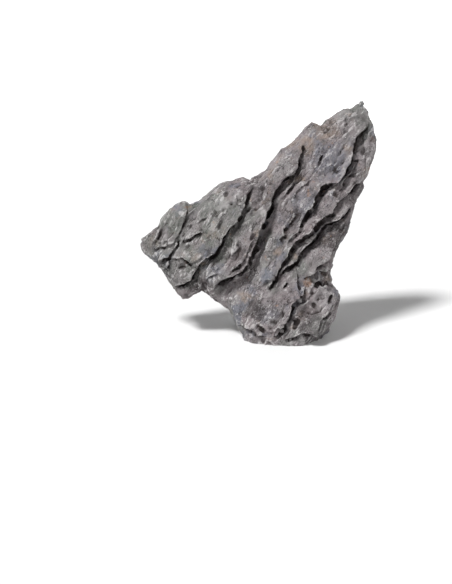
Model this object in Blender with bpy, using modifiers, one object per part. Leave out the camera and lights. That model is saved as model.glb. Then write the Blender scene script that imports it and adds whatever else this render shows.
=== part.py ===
"""Dragon stone: one grey, scaly aquascape stone, standing on its own foot.

The stone is drawn on its broad face, in millimetres: x to the right, y up the face, and z out of
the face towards the viewer. The face leans back from vertical, and the foot is cut level. A blank of
the outline is given its thickness, then the ledges where its layers break off, then the bedding that
shows as thin steps on every side.
"""

import math

import bpy
import numpy as np

MM = 0.001

# Driving sizes, in millimetres and degrees
LEAN = 15.0  # the face leans back from vertical
FLOOR_Y = 10.0  # height up the face, at z = 0, where the level foot is cut
FOOT_CENTRE = (-8.0, 10.5)  # x on the face, and depth behind the front, that come to the origin
RIM_HALF = 9.0  # half thickness of the blank's rim
FRONT_ROUNDING = 15.0  # distance from the rim over which the front swells to full thickness
BACK_ROUNDING = 26.0  # the same for the back
SPOT_REACH = 30.0  # how far each of the SPOTS has its say over the depth
BEDDING_TILT = 18.0  # the layers come forward towards the lower right
STRIKE = 56.0  # the direction that most ledges run, from horizontal
LONG, BENT = (0.2, 1.0, 1.0), (0.5, 1.0, 1.0)  # noise is drawn out 5 and 2 times along the strike
INNER_EDGES = 0.5  # share to which the layers' edges stand out away from the outline
TRIANGLES = 9400  # facets of the finished solid

# How a ledge's edge is made: a value and its growth with each mm of the drop
LIP_HALF = (0.9, 0.06)  # half width of the lip
UNDERCUT = (1.4, 0.17)  # width of the groove below it
OVERHANG = 0.42  # how far the lip is pushed over the groove, as a share of the drop
WARPS = [(1.8, 13.0), (1.1, 5.0)]  # how far edges stray, and over what length
FRONT_LEVEL, FRONT_HOLLOW = 0.0, 1.0  # where the noise is read, and the share of the undercut
BACK_LEVEL, BACK_HOLLOW = 70.0, 0.35

# Working resolutions of the blank and of the shaped stone
BLANK_VOXEL = 1.6
SHAPED_VOXEL = 1.25

# The outline of the broad face, clockwise from the tip of the left wing
OUTLINE = [
    (-149, 106), (-139, 114), (-132, 119), (-130, 125), (-123, 133), (-115, 138), (-105, 143),
    (-100, 140), (-91, 145), (-85, 150), (-77, 157), (-70, 161), (-55, 164), (-48, 168), (-40, 165),
    (-33, 168), (-24, 175), (-21, 182), (-10, 196), (1, 202), (9, 212), (13, 218), (20, 225), (27, 223),
    (30, 220), (36, 227), (47, 234), (53, 237), (60, 237), (67, 242), (73, 245), (74, 238), (78, 233),
    (79, 226), (83, 218), (86, 205), (85, 196), (80, 181), (77, 170), (72, 162), (72, 156), (65, 142),
    (62, 125), (59, 112), (50, 100), (46, 90), (44, 79), (42, 69), (44, 58), (48, 53), (49, 46),
    (44, 28), (36, 14), (24, 2), (10, -9), (-20, -11), (-42, -8), (-50, 6), (-56, 20), (-64, 33),
    (-77, 46), (-88, 54), (-101, 46), (-107, 45), (-113, 51), (-121, 62), (-130, 76), (-139, 85),
    (-147, 92),
]

# Places on the face, with the depth of the stone in front of and behind the plane of the outline
SPOTS = [
    (-140, 102, 10, -10), (-98, 104, 24, -20), (-104, 56, 14, -12), (-52, 118, 34, -28),
    (-62, 66, 26, -26), (0, 120, 38, -36), (10, 190, 27, -26), (-10, 190, 22, -18), (60, 232, 14, -10),
    (74, 196, 15, -16), (48, 120, 23, -32), (-8, 50, 40, -46), (34, 66, 29, -44), (34, 28, 39, -44),
    (-10, 4, 40, -48), (-44, 14, 26, -44), (-34, 160, 20, -16),
]

# Ledges: how far the layer above stands out, how far back it slopes, and the edge's route. The proud
# side is on the left of the route.
LEDGES = [
    (4, 20, [(-139, 96), (-130, 96), (-122, 98), (-115, 102), (-110, 109), (-106, 120), (-103, 131),
             (-100, 143)]),
    (4, 14, [(-138, 98), (-133, 104), (-129, 109), (-128, 117), (-127, 126)]),
    (6, 16, [(-133, 80), (-126, 85), (-119, 86), (-115, 92), (-111, 101), (-109, 108)]),
    (9, 40, [(-116, 54), (-109, 62), (-101, 65), (-96, 71), (-89, 81), (-84, 87), (-75, 93), (-69, 100),
             (-65, 109), (-57, 117), (-49, 126), (-46, 135), (-45, 148), (-36, 158)]),
    (12, 36, [(-80, 52), (-72, 60), (-65, 64), (-58, 67), (-49, 73), (-43, 79), (-38, 88), (-36, 99),
              (-33, 109), (-28, 118), (-23, 127), (-21, 135), (-19, 145), (-16, 155), (-10, 163),
              (1, 170), (6, 179), (10, 186)]),
    (3, 12, [(-4, 168), (3, 175), (8, 183), (12, 191), (14, 199)]),
    (4, 12, [(-19, 134), (-13, 140), (-10, 145), (-4, 151), (1, 158), (5, 167), (10, 176)]),
    (4, 12, [(-68, 58), (-58, 61), (-50, 64), (-43, 72), (-36, 82), (-31, 91), (-28, 100)]),
    (5, 14, [(-89, 52), (-88, 59), (-84, 65), (-77, 70), (-70, 71)]),
    (4, 14, [(-15, 100), (-9, 107), (-8, 115), (-4, 121), (0, 126), (3, 135)]),
    (4, 12, [(-8, 97), (-4, 103), (0, 107), (6, 111), (9, 120), (12, 129)]),
    (7, 26, [(-22, 50), (-19, 59), (-15, 70), (-10, 81), (-5, 89), (0, 98), (9, 106), (18, 110),
             (26, 118), (33, 124), (40, 131), (46, 139), (56, 148), (62, 157), (70, 163), (73, 174),
             (76, 187)]),
    (10, 34, [(9, 121), (12, 127), (16, 132), (22, 137), (24, 145), (27, 153), (32, 159), (40, 160),
              (46, 162), (52, 166), (55, 175), (59, 181), (61, 189), (60, 195), (64, 203), (68, 208),
              (72, 212), (80, 219)]),
    (5, 12, [(38, 137), (42, 147), (47, 155), (52, 160), (58, 166), (61, 174), (67, 184), (71, 190)]),
    (9, 24, [(-14, 68), (-7, 75), (0, 78), (4, 82), (8, 89), (14, 97), (21, 103), (27, 109), (30, 115),
             (37, 120), (47, 124), (54, 129), (60, 137), (68, 145)]),
    (8, 18, [(23, 73), (28, 79), (34, 84), (38, 88), (41, 95), (43, 101), (52, 111)]),
    (9, 26, [(12, 63), (14, 67), (19, 70), (25, 72), (30, 74), (34, 72), (38, 75), (48, 83)]),
    (7, 18, [(54, 49), (48, 54), (42, 59), (35, 60), (28, 59), (23, 56)]),
    (7, 16, [(-17, 6), (-9, 18), (-6, 24), (-1, 31), (3, 39), (8, 45), (12, 50), (13, 58)]),
    (6, 14, [(19, 8), (24, 18), (29, 25), (34, 29), (40, 35), (43, 44)]),
    (7, 22, [(-8, 5), (1, 8), (8, 11), (15, 12), (22, 12), (27, 12), (38, 18)]),
    (3, 12, [(8, 46), (7, 57), (5, 68), (6, 79)]),
    (4, 14, [(-108, 100), (-101, 104), (-98, 105), (-93, 109), (-87, 109)]),
    (4, 12, [(-119, 83), (-106, 86), (-97, 82), (-92, 87), (-84, 91)]),
    (3, 10, [(-44, 99), (-40, 108), (-37, 116), (-33, 125)]),
    (4, 10, [(75, 212), (72, 205), (72, 196), (71, 188)]),
    (4, 9, [(-64, 69), (-55, 75), (-48, 82), (-43, 90), (-40, 98), (-36, 106)]),
    (5, 10, [(-134, 71), (-127, 74), (-121, 78), (-119, 84)]),
    (3, 8, [(-36, 54), (-31, 58), (-25, 61), (-19, 64)]),
    (3, 7, [(-3, 140), (3, 147), (9, 152), (16, 157), (21, 166)]),
    (3, 8, [(-52, 100), (-53, 110), (-47, 119), (-42, 130)]),
    (3, 7, [(-104, 118), (-97, 117), (-90, 120), (-84, 127)]),
    (3, 7, [(-32, 22), (-26, 15), (-17, 14), (-8, 20)]),
    (3, 7, [(-60, 86), (-55, 92), (-50, 101)]),
    (5, 14, [(-54, 20), (-46, 16), (-38, 13), (-31, 8), (-24, 5), (-16, 0)]),
]

# The same on the back, where the layers break off towards the upper left
BACK_LEDGES = [
    (4, 26, [(58, 240), (50, 222), (40, 212), (36, 198), (25, 188), (20, 176), (8, 166), (0, 150),
             (-12, 140)]),
    (7, 36, [(88, 208), (70, 196), (64, 180), (50, 170), (46, 154), (30, 140), (22, 122), (8, 112),
             (2, 96), (-14, 84), (-20, 66), (-34, 54), (-40, 38)]),
    (5, 24, [(78, 168), (64, 156), (60, 142), (46, 130), (42, 116), (30, 104), (22, 88), (8, 80)]),
    (6, 30, [(54, 106), (40, 92), (36, 78), (22, 66), (16, 50), (2, 42), (-6, 26), (-20, 14),
             (-26, -6)]),
    (5, 30, [(-18, 192), (-26, 172), (-38, 164), (-44, 150), (-58, 142), (-64, 126), (-80, 116),
             (-86, 100), (-100, 92), (-108, 76), (-120, 68)]),
    (7, 34, [(-14, 130), (-26, 118), (-32, 104), (-46, 96), (-52, 82), (-66, 74), (-74, 58), (-86, 48)]),
    (3, 18, [(-74, 164), (-88, 146), (-96, 132), (-110, 124), (-118, 110), (-132, 104), (-146, 92)]),
    (4, 20, [(48, 60), (36, 44), (24, 34), (20, 18), (8, 8), (4, -10)]),
    (3, 14, [(18, 210), (10, 196), (-4, 184), (-10, 170)]),
    (4, 18, [(-6, 66), (-22, 56), (-28, 42), (-42, 34), (-50, 16)]),
]

# Splits and gouges in the face: depth, width and route
SPLITS = [
    (4, 1.8, [(-4, 63), (-6, 59), (-9, 56)]),
    (4, 1.0, [(-3, 13), (3, 21), (5, 27), (11, 32)]),
    (6, 1.7, [(39, 50), (38, 45), (37, 40)]),
    (3, 2.6, [(-24, 160), (-22, 160)]),
    (4, 2.5, [(39, 144), (41, 148), (45, 151)]),
    (4, 2.0, [(62, 184), (68, 182)]),
]

# The layers between the ledges: thickness, the step that one makes where it ends on a broad face,
# how far it stands out where it is seen edge on, how much it wanders, and where its noise is read
LAYERS = [
    (11.0, 1.2, 4.0, 0.8, 1500),
    (4.2, 2.0, 1.3, 1.1, 100),
]

GRID = 32
LATTICE = np.random.default_rng(11).uniform(-1.0, 1.0, (GRID, GRID, GRID))


def noise(points, size):
    """Smooth noise from -1 to 1 at each point, with features of about the given size."""
    cell = points / size
    low = np.floor(cell).astype(int)
    part = cell - low
    part = part * part * (3 - 2 * part)
    total = np.zeros(len(points))
    for corner in np.ndindex(2, 2, 2):
        index = (low + corner) % GRID
        weight = np.prod(np.where(corner, part, 1 - part), axis=1)
        total += weight * LATTICE[index[:, 0], index[:, 1], index[:, 2]]
    return total


def fade(value, low, high):
    """0 at low, 1 at high, with smooth ends."""
    share = np.clip((value - low) / (high - low), 0, 1)
    return share * share * (3 - 2 * share)


def beside(points, route, closed=False):
    """Distance to a route, which side of it (1 for its left), and how far along it, for each point."""
    route = np.array(route, float)
    if closed:
        route = np.vstack([route, route[:1]])
    best = np.full(len(points), np.inf)
    side = np.ones(len(points))
    along = np.zeros(len(points))
    heading = np.zeros((len(points), 2))
    start = 0.0
    for a, b in zip(route[:-1], route[1:]):
        run = b - a
        length = np.hypot(*run)
        offset = points - a
        share = np.clip(offset @ run / length**2, 0, 1)
        distance = np.hypot(*(offset - share[:, None] * run).T)
        nearer = distance < best
        best[nearer] = distance[nearer]
        turn = run[0] * offset[:, 1] - run[1] * offset[:, 0]
        side[nearer] = np.where(turn[nearer] >= 0, 1, -1)
        along[nearer] = start + share[nearer] * length
        heading[nearer] = run / length
        start += length
    return best, side, along, start, heading


def bedding_frame(points):
    """Coordinates along the strike, down the dip and through the layers."""
    strike = math.radians(STRIKE)
    tilt = math.radians(BEDDING_TILT)
    along = np.array([math.cos(strike), math.sin(strike), 0])
    across = np.array([math.sin(strike), -math.cos(strike), 0])
    through = np.array([0, 0, math.cos(tilt)]) - math.sin(tilt) * across
    dip = np.cross(through, along)
    return points @ np.array([along, dip, through]).T


def curve_blank():
    """The outline as a flat slab with the rim's thickness, at the blank's resolution."""
    curve = bpy.data.curves.new("blank_outline", "CURVE")
    curve.dimensions = "2D"
    curve.fill_mode = "BOTH"
    curve.extrude = RIM_HALF * MM
    spline = curve.splines.new("POLY")
    spline.points.add(len(OUTLINE) - 1)
    for point, (x, y) in zip(spline.points, OUTLINE):
        point.co = (x * MM, y * MM, 0, 1)
    spline.use_cyclic_u = True
    slab = bpy.data.objects.new("blank", curve)
    bpy.context.scene.collection.objects.link(slab)
    mesh = evaluated_mesh(slab)
    bpy.data.objects.remove(slab)
    return remeshed(mesh, BLANK_VOXEL)


def evaluated_mesh(obj):
    """The mesh that an object's modifiers give."""
    bpy.context.view_layer.update()
    graph = bpy.context.evaluated_depsgraph_get()
    return bpy.data.meshes.new_from_object(obj.evaluated_get(graph))


def remeshed(mesh, voxel):
    """The mesh's surface again, in even quads of the voxel's size."""
    holder = bpy.data.objects.new("holder", mesh)
    bpy.context.scene.collection.objects.link(holder)
    remesh = holder.modifiers.new("even", "REMESH")
    remesh.mode = "VOXEL"
    remesh.voxel_size = voxel * MM
    even = evaluated_mesh(holder)
    bpy.data.objects.remove(holder)
    return even


def points_of(mesh):
    points = np.empty(len(mesh.vertices) * 3)
    mesh.vertices.foreach_get("co", points)
    return points.reshape(-1, 3) / MM


def normals_of(mesh):
    normals = np.empty(len(mesh.vertices) * 3)
    mesh.vertices.foreach_get("normal", normals)
    return normals.reshape(-1, 3)


def set_points(mesh, points):
    mesh.vertices.foreach_set("co", (points * MM).ravel())
    mesh.update()


def depths(face):
    """Depth before and behind the outline's plane, without ledges, and the ledges' share there."""
    spots = np.array(SPOTS, float)
    apart = np.hypot(face[:, :1] - spots[:, 0], face[:, 1:] - spots[:, 1])
    weight = np.exp(-((apart / SPOT_REACH) ** 2)) + 1e-4 * np.exp(-apart / SPOT_REACH)
    weight /= weight.sum(axis=1, keepdims=True)
    to_rim = beside(face, OUTLINE, closed=True)[0]
    near = 1 - np.clip(to_rim / FRONT_ROUNDING, 0, 1)
    front = RIM_HALF + (weight @ spots[:, 2] - RIM_HALF) * np.sqrt(1 - near**2)
    near = 1 - np.clip(to_rim / BACK_ROUNDING, 0, 1)
    back = -RIM_HALF + (weight @ spots[:, 3] + RIM_HALF) * np.sqrt(1 - near**2)
    return front, back, 0.25 + 0.75 * fade(to_rim, 0.0, 9.0)


def ledge_relief(face, ledges, splits, level, hollow):
    """How far the ledges lift a face, and how far their lips are pushed over the layer below."""
    wander = np.column_stack([face, np.full(len(face), level)])
    warped = face.copy()
    for turn, (amount, size) in enumerate(WARPS):
        here = wander + 80 * turn
        warped += amount * np.column_stack([noise(here, size), noise(here + 40, size)])
    lift = np.zeros(len(face))
    deepest = np.zeros(len(face))
    push = np.zeros((len(face), 2))
    for drop, reach, route in ledges:
        distance, side, along, length, heading = beside(warped, route)
        ends = np.minimum(along, length - along)
        strength = drop * fade(ends, -1.0, min(16.0, 0.25 * length))
        crest = LIP_HALF[0] + LIP_HALF[1] * drop
        lip = fade(distance * side, -crest, crest)
        slope = np.clip(1 - distance / reach, 0, 1) * (1 - 0.12 * np.exp(-distance / 3.0))
        width = (UNDERCUT[0] + UNDERCUT[1] * drop) * (1 + 0.8 * noise(wander + 240, 11))
        trough = hollow * np.exp(-((distance / width) ** 2))
        trough += 0.5 * np.exp(-distance / (0.28 * reach))
        lift += strength * slope * lip
        deepest = np.maximum(deepest, strength * trough * (1 - lip))
        downhill = np.column_stack([heading[:, 1], -heading[:, 0]])
        over = (OVERHANG * lip - 0.15) * np.exp(-distance / 4.0) * strength
        push += over[:, None] * downhill
    for depth, width, route in splits:
        distance, _, along, length, _ = beside(warped, route)
        gape = fade(np.minimum(along, length - along), -1.5, 0.45 * length)
        width = width * (0.4 + 0.5 * gape)
        lift -= depth * gape * np.exp(-((distance / width) ** 2))
    return lift - deepest, push


def give_form(mesh):
    """Moves the flat blank's points to the stone's thickness and ledges."""
    points = points_of(mesh)
    face = points[:, :2].copy()
    share = (np.clip(points[:, 2] / RIM_HALF, -1, 1) + 1) / 2
    front, back, inside = depths(face)
    front_lift, front_push = ledge_relief(face, LEDGES, SPLITS, FRONT_LEVEL, FRONT_HOLLOW)
    back_lift, back_push = ledge_relief(face, BACK_LEDGES, [], BACK_LEVEL, BACK_HOLLOW)
    front += front_lift * inside
    back -= back_lift * inside
    points[:, 2] = back + (front - back) * share
    points[:, :2] += front_push * fade(share, 0.6, 1.0)[:, None]
    points[:, :2] += back_push * fade(share, 0.4, 0.0)[:, None]
    set_points(mesh, points)


def layer_steps(layered, facing, outer, thick, step, stand, stray, shift):
    """Layers that end one after another: steps on the broad faces, ridges where seen edge on."""
    long, bent = layered * LONG, layered * BENT
    wander = stray * (noise(long + shift, 5.5 * thick) + 0.4 * noise(bent + shift + 40, 1.8 * thick))
    phase = (0.31 * layered[:, 1] - 0.3 * layered[:, 2]) / thick + wander
    index = np.floor(phase)
    share = phase - index
    here = noise(long + shift + 120 + 37 * index[:, None], 4.0 * thick)
    rising = share * (1 - fade(share, 0.9, 1.0))
    falling = (1 - share) * fade(share, 0.0, 0.1)
    broad = step * (np.where(facing > 0, rising, falling) * fade(here, -0.4, 0.3) - 0.3)
    share = (layered[:, 2] / (0.8 * thick) + wander) % 1.0
    edge = outer * stand * ((1 - abs(2 * share - 1) ** 3) * fade(here, -0.7, 0.2) - 0.8)
    across = fade(abs(facing), 0.25, 0.6)
    return across * broad + (1 - across) * edge


def add_bedding(mesh):
    """The steps of the layers on every side, and low lumps."""
    points = points_of(mesh)
    normals = normals_of(mesh)
    layered = bedding_frame(points)
    facing = bedding_frame(normals)[:, 2]
    lumps = 1.6 * noise(points + 200, 30) + 1.0 * noise(layered * LONG + 500, 9)
    to_rim = beside(points[:, :2], OUTLINE, closed=True)[0]
    outer = INNER_EDGES + (1 - INNER_EDGES) * fade(to_rim, 14.0, 5.0)
    steps = sum(layer_steps(layered, facing, outer, *layer) for layer in LAYERS)
    set_points(mesh, points + (steps + lumps - 1.0)[:, None] * normals)


def ground_cutter(collection):
    """A block below the floor, which cuts the foot level."""
    bpy.ops.mesh.primitive_cube_add(size=600 * MM, location=(0, 0, -300 * MM))
    cutter = bpy.context.object
    cutter.name = "ground_cutter"
    cutter.hide_render = True
    cutter.display_type = "WIRE"
    for holder in list(cutter.users_collection):
        holder.objects.unlink(cutter)
    collection.objects.link(cutter)
    return cutter


def stone_material():
    material = bpy.data.materials.new("grey_stone")
    material.use_nodes = True
    shader = material.node_tree.nodes["Principled BSDF"]
    shader.inputs["Base Color"].default_value = (0.24, 0.23, 0.23, 1)
    shader.inputs["Roughness"].default_value = 0.85
    shader.inputs["Metallic"].default_value = 0.0
    return material


def make_stone(collection, cutter):
    blank = curve_blank()
    give_form(blank)
    shaped = remeshed(blank, SHAPED_VOXEL)
    add_bedding(shaped)
    even = remeshed(shaped, SHAPED_VOXEL)
    stone = bpy.data.objects.new("stone", even)
    collection.objects.link(stone)
    stone.data.materials.append(stone_material())
    lean = math.radians(LEAN)
    stone.rotation_euler.x = math.pi / 2 - lean
    stone.location = (
        -FOOT_CENTRE[0] * MM,
        -FOOT_CENTRE[1] * MM,
        -FLOOR_Y * math.cos(lean) * MM,
    )
    fewer = stone.modifiers.new("fewer facets", "DECIMATE")
    fewer.ratio = TRIANGLES / (2 * len(even.polygons))
    foot = stone.modifiers.new("level foot", "BOOLEAN")
    foot.operation = "DIFFERENCE"
    foot.object = cutter
    return stone


def main():
    for obj in list(bpy.data.objects):
        bpy.data.objects.remove(obj)
    parts = bpy.data.collections.new("dragon_stone")
    cutters = bpy.data.collections.new("cutters")
    bpy.context.scene.collection.children.link(parts)
    bpy.context.scene.collection.children.link(cutters)
    make_stone(parts, ground_cutter(cutters))


main()
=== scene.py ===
import math
import bmesh
import bpy
import numpy as np
from mathutils import Matrix, Vector


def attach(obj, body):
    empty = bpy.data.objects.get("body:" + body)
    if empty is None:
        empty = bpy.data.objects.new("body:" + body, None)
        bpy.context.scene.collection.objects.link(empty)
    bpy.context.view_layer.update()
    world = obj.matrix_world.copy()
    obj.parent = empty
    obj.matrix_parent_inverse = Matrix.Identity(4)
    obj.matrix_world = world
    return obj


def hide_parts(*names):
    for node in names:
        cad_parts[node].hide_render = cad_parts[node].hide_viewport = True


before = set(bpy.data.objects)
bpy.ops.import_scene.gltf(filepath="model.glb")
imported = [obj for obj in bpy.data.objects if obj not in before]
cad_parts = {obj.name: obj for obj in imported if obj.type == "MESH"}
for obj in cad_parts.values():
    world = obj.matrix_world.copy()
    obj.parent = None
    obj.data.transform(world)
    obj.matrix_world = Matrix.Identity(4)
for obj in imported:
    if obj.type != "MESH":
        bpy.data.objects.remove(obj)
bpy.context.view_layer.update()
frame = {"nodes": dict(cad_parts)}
print("frame loaded:", ", ".join(frame["nodes"]))

mm = 0.001

# The stone is drawn on its broad face, in mm: x to the right, y up the face, z out of it.
# The face leans back, and the foot is cut level where it meets the floor.
stoneForm = {
    "lean": 15.0,
    "floorY": 10.0,
    "footCentre": (-8.0, 10.5),
    "rimHalf": 9.0,
    "frontRounding": 15.0,
    "backRounding": 26.0,
    "spotReach": 30.0,
    "spotTail": 1e-4,
    # the ledges lose this much of their height at the rim, over this width
    "rimCalm": 0.75,
    "rimCalmWidth": 9.0,
    "blankVoxel": 0.8,
    "fineVoxel": 0.62,
    "calmTurns": 3,
    "calmStep": 0.6,
    "triangles": 192000,
    "sharpAngle": 50.0,
    # clockwise from the tip of the left wing
    "outline": [
        (-149, 106), (-139, 114), (-132, 119), (-130, 125), (-123, 133), (-115, 138), (-105, 143),
        (-100, 140), (-91, 145), (-85, 150), (-77, 157), (-70, 161), (-55, 164), (-48, 168), (-40, 165),
        (-33, 168), (-24, 175), (-21, 182), (-10, 196), (1, 202), (9, 212), (13, 218), (20, 225),
        (27, 223), (30, 220), (36, 227), (47, 234), (53, 237), (60, 237), (67, 242), (73, 245),
        (74, 238), (78, 233), (79, 226), (83, 218), (86, 205), (85, 196), (80, 181), (77, 170),
        (72, 162), (72, 156), (65, 142), (62, 125), (59, 112), (50, 100), (46, 90), (44, 79), (42, 69),
        (44, 58), (48, 53), (49, 46), (44, 28), (36, 14), (24, 2), (10, -9), (-20, -11), (-42, -8),
        (-50, 6), (-56, 20), (-64, 33), (-77, 46), (-88, 54), (-101, 46), (-107, 45), (-113, 51),
        (-121, 62), (-130, 76), (-139, 85), (-147, 92),
    ],
    # places on the face, with the depth in front of and behind the outline's plane
    "spots": [
        (-140, 102, 10, -10), (-98, 104, 24, -20), (-104, 56, 14, -12), (-52, 118, 34, -28),
        (-62, 66, 26, -26), (0, 120, 38, -36), (10, 190, 27, -26), (-10, 190, 22, -18),
        (60, 232, 14, -10), (74, 196, 15, -16), (48, 120, 23, -32), (-8, 50, 40, -46), (34, 66, 29, -44),
        (34, 28, 39, -44), (-10, 4, 40, -48), (-44, 14, 26, -44), (-34, 160, 20, -16),
    ],
}

# Where layers break off: how far the upper one stands out, how far back it slopes, and the edge.
# The layer that stands out is on the left of the route.
ledgeRoutes = {
    "front": [
        (4, 20, [(-139, 96), (-130, 96), (-122, 98), (-115, 102), (-110, 109), (-106, 120), (-103, 131),
                 (-100, 143)]),
        (4, 14, [(-138, 98), (-133, 104), (-129, 109), (-128, 117), (-127, 126)]),
        (6, 16, [(-133, 80), (-126, 85), (-119, 86), (-115, 92), (-111, 101), (-109, 108)]),
        (9, 40, [(-116, 54), (-109, 62), (-101, 65), (-96, 71), (-89, 81), (-84, 87), (-75, 93),
                 (-69, 100), (-65, 109), (-57, 117), (-49, 126), (-46, 135), (-45, 148), (-36, 158)]),
        (12, 36, [(-80, 52), (-72, 60), (-65, 64), (-58, 67), (-49, 73), (-43, 79), (-38, 88),
                  (-36, 99), (-33, 109), (-28, 118), (-23, 127), (-21, 135), (-19, 145), (-16, 155),
                  (-10, 163), (1, 170), (6, 179), (10, 186)]),
        (3, 12, [(-4, 168), (3, 175), (8, 183), (12, 191), (14, 199)]),
        (4, 12, [(-19, 134), (-13, 140), (-10, 145), (-4, 151), (1, 158), (5, 167), (10, 176)]),
        (4, 12, [(-68, 58), (-58, 61), (-50, 64), (-43, 72), (-36, 82), (-31, 91), (-28, 100)]),
        (5, 14, [(-89, 52), (-88, 59), (-84, 65), (-77, 70), (-70, 71)]),
        (4, 14, [(-15, 100), (-9, 107), (-8, 115), (-4, 121), (0, 126), (3, 135)]),
        (4, 12, [(-8, 97), (-4, 103), (0, 107), (6, 111), (9, 120), (12, 129)]),
        (3, 10, [(-26, 91), (-20, 93), (-14, 98)]),
        (7, 26, [(-22, 50), (-19, 59), (-15, 70), (-10, 81), (-5, 89), (0, 98), (9, 106), (18, 110),
                 (26, 118), (33, 124), (40, 131), (46, 139), (56, 148), (62, 157), (70, 163), (73, 174),
                 (76, 187)]),
        (10, 34, [(9, 121), (12, 127), (16, 132), (22, 137), (24, 145), (27, 153), (32, 159), (40, 160),
                  (46, 162), (52, 166), (55, 175), (59, 181), (61, 189), (60, 195), (64, 203),
                  (68, 208), (72, 212), (80, 219)]),
        (5, 12, [(38, 137), (42, 147), (47, 155), (52, 160), (58, 166), (61, 174), (67, 184),
                 (71, 190)]),
        (9, 24, [(-14, 68), (-7, 75), (0, 78), (4, 82), (8, 89), (14, 97), (21, 103), (27, 109),
                 (30, 115), (37, 120), (47, 124), (54, 129), (60, 137), (68, 145)]),
        (8, 18, [(23, 73), (28, 79), (34, 84), (38, 88), (41, 95), (43, 101), (52, 111)]),
        (9, 26, [(12, 63), (14, 67), (19, 70), (25, 72), (30, 74), (34, 72), (38, 75), (48, 83)]),
        (7, 18, [(54, 49), (48, 54), (42, 59), (35, 60), (28, 59), (23, 56)]),
        (7, 16, [(-17, 6), (-9, 18), (-6, 24), (-1, 31), (3, 39), (8, 45), (12, 50), (13, 58)]),
        (6, 14, [(19, 8), (24, 18), (29, 25), (34, 29), (40, 35), (43, 44)]),
        (7, 22, [(-8, 5), (1, 8), (8, 11), (15, 12), (22, 12), (27, 12), (38, 18)]),
        (3, 12, [(8, 46), (7, 57), (5, 68), (6, 79)]),
        (4, 14, [(-108, 100), (-101, 104), (-98, 105), (-93, 109), (-87, 109)]),
        (4, 12, [(-119, 83), (-106, 86), (-97, 82), (-92, 87), (-84, 91)]),
        (3, 10, [(-44, 99), (-40, 108), (-37, 116), (-33, 125)]),
        (4, 10, [(75, 212), (72, 205), (72, 196), (71, 188)]),
        (4, 9, [(-64, 69), (-55, 75), (-48, 82), (-43, 90), (-40, 98), (-36, 106)]),
        (5, 10, [(-134, 71), (-127, 74), (-121, 78), (-119, 84)]),
        (3, 8, [(-36, 54), (-31, 58), (-25, 61), (-19, 64)]),
        (4, 9, [(61, 188), (65, 185), (70, 183), (75, 185)]),
        (3, 6, [(-128, 99), (-125, 102), (-120, 106)]),
        (3, 7, [(24, 180), (27, 185), (32, 187)]),
        (3, 7, [(-3, 140), (3, 147), (9, 152), (16, 157), (21, 166)]),
        (3, 8, [(-52, 100), (-53, 110), (-47, 119), (-42, 130)]),
        (3, 7, [(-104, 118), (-97, 117), (-90, 120), (-84, 127)]),
        (3, 7, [(-32, 22), (-26, 15), (-17, 14), (-8, 20)]),
        (3, 7, [(-60, 86), (-55, 92), (-50, 101)]),
        (5, 14, [(-54, 20), (-46, 16), (-38, 13), (-31, 8), (-24, 5), (-16, 0)]),
    ],
    "back": [
        (4, 26, [(58, 240), (50, 222), (40, 212), (36, 198), (25, 188), (20, 176), (8, 166), (0, 150),
                 (-12, 140)]),
        (7, 36, [(88, 208), (70, 196), (64, 180), (50, 170), (46, 154), (30, 140), (22, 122),
                  (8, 112), (2, 96), (-14, 84), (-20, 66), (-34, 54), (-40, 38)]),
        (5, 24, [(78, 168), (64, 156), (60, 142), (46, 130), (42, 116), (30, 104), (22, 88), (8, 80)]),
        (6, 30, [(54, 106), (40, 92), (36, 78), (22, 66), (16, 50), (2, 42), (-6, 26), (-20, 14),
                  (-26, -6)]),
        (5, 30, [(-18, 192), (-26, 172), (-38, 164), (-44, 150), (-58, 142), (-64, 126), (-80, 116),
                 (-86, 100), (-100, 92), (-108, 76), (-120, 68)]),
        (7, 34, [(-14, 130), (-26, 118), (-32, 104), (-46, 96), (-52, 82), (-66, 74), (-74, 58),
                  (-86, 48)]),
        (3, 18, [(-74, 164), (-88, 146), (-96, 132), (-110, 124), (-118, 110), (-132, 104),
                 (-146, 92)]),
        (4, 20, [(48, 60), (36, 44), (24, 34), (20, 18), (8, 8), (4, -10)]),
        (3, 14, [(18, 210), (10, 196), (-4, 184), (-10, 170)]),
        (4, 18, [(-6, 66), (-22, 56), (-28, 42), (-42, 34), (-50, 16)]),
    ],
    # splits and gouges in the front: depth, width and route
    "splits": [
        (3, 1.6, [(43, 216), (36, 214), (33, 210), (31, 203)]),
        (3, 2.0, [(54, 226), (55, 221), (53, 216)]),
        (4, 1.8, [(-4, 63), (-6, 59), (-9, 56)]),
        (4, 1.0, [(-3, 13), (3, 21), (5, 27), (11, 32)]),
        (2, 1.3, [(19, 47), (21, 54), (22, 60)]),
        (6, 1.7, [(39, 50), (38, 45), (37, 40)]),
        (3, 1.0, [(18, 43), (23, 39)]),
        (3, 1.6, [(-75, 112), (-71, 117), (-67, 122)]),
        (3, 2.6, [(-24, 160), (-22, 160)]),
        (3, 2.2, [(-34, 161), (-35, 158)]),
        (3, 1.8, [(-30, 153), (-28, 152)]),
        (3, 1.5, [(-60, 139), (-56, 138)]),
        (3, 1.5, [(-69, 131), (-64, 134)]),
        (2, 2.0, [(-85, 147), (-77, 144)]),
        (3, 1.5, [(-112, 75), (-106, 78), (-100, 79)]),
        (4, 2.5, [(39, 144), (41, 148), (45, 151)]),
        (2, 1.6, [(-22, 24), (-18, 23)]),
        (3, 1.6, [(14, 29), (18, 27)]),
        (4, 2.0, [(62, 184), (68, 182)]),
        (3, 1.4, [(-59, 61), (-52, 64), (-46, 69)]),
        (3, 1.4, [(-97, 76), (-90, 79)]),
        (3, 1.5, [(-64, 148), (-61, 152)]),
    ],
}

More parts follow.
